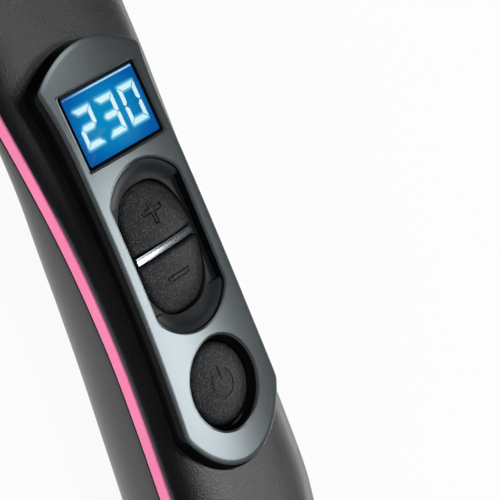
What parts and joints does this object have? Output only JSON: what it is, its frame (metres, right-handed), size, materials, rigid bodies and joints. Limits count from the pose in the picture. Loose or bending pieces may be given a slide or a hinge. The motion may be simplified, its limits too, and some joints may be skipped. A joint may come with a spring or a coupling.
{
  "type": "heated hair straightening brush",
  "caption": "Paddle brush for straightening hair: heated toothed plate ringed by cool pins, and a handle with a digital display, temperature keys, a power key and a swivelling cord outlet.",
  "frame": {"origin": "under the middle of the brush's box, on the surface that it lies on", "axes": "+X from the head to the tail, +Y to the right of the control panel when the display's figures are upright, +Z out of the panel and the teeth"},
  "size_m": [0.288, 0.0776, 0.0422],
  "materials": {
    "shell_black": "fine grained matte",
    "trim_pink": "satin",
    "frame_black": "satin",
    "pin_black": "satin",
    "piano_black": "high gloss",
    "plate_red": "glossy glaze",
    "tip_black": "matte",
    "chassis_grey": "matte, heat resistant",
    "ptc_ceramic": "fired",
    "mica": "mica board",
    "clamp_alu": "plain",
    "screw_steel": "zinc plated",
    "shield_alu": "bright",
    "sensor_green": "epoxy bead",
    "fuse_ceramic": "glazed",
    "lead_white": "silicone sleeve",
    "fascia_gunmetal": "satin",
    "lens_clear": "clear window",
    "display_blue": "backlit",
    "digit_white": "backlit figures",
    "button_rubber": "fine grained matte",
    "divider_chrome": "polished",
    "board_green": "solder resist",
    "dome_silicone": "silicone",
    "parts_dark": "moulded",
    "bush_black": "satin",
    "contact_brass": "plain",
    "block_cream": "moulded"
  },
  "bodies": {
    "brush": {"front_housing": "shell_black", "back_housing": "shell_black", "side_trim": "trim_pink", "pin_frame": "frame_black", "edge_pins": "pin_black", "plate_surround": "piano_black", "heating_plate": "plate_red", "heating_teeth": "plate_red", "tooth_tips": "tip_black", "head_chassis": "chassis_grey", "heater_slabs": "ptc_ceramic", "mica_sheet": "mica", "heater_clamp": "clamp_alu", "clamp_screws": "screw_steel", "heat_shield": "shield_alu", "thermistor": "sensor_green", "thermal_fuse": "fuse_ceramic", "heater_leads": "lead_white", "panel_plinth": "piano_black", "control_fascia": "fascia_gunmetal", "display_bezel": "piano_black", "display_lens": "lens_clear", "display_module": "display_blue", "display_digits": "digit_white", "divider_bar": "divider_chrome", "control_board": "board_green", "dome_switches": "dome_silicone", "power_board": "board_green", "board_parts": "parts_dark", "contact_block": "block_cream", "contact_springs": "contact_brass", "housing_screws": "screw_steel"},
    "plus": {"plus_button": "button_rubber"},
    "minus": {"minus_button": "button_rubber"},
    "power": {"power_button": "button_rubber"},
    "swivel": {"swivel_bush": "bush_black", "slip_rings": "contact_brass"}
  },
  "joints": [
    {"name": "plus_press", "type": "slide", "parent": "brush", "child": "plus", "axis": [0, 0, -1], "range_m": [0, 0.0007], "stiffness_N_per_m": 1200, "springref_m": -0.0007},
    {"name": "minus_press", "type": "slide", "parent": "brush", "child": "minus", "axis": [0, 0, -1], "range_m": [0, 0.0007], "stiffness_N_per_m": 1200, "springref_m": -0.0007},
    {"name": "power_press", "type": "slide", "parent": "brush", "child": "power", "axis": [-0.0515, 0, -0.9987], "range_m": [0, 0.0007], "stiffness_N_per_m": 1200, "springref_m": -0.0007},
    {"name": "cord_swivel", "type": "hinge", "parent": "brush", "child": "swivel", "pos_m": [0.13, 0, 0.014], "axis": [1, 0, 0], "continuous": true}
  ]
}
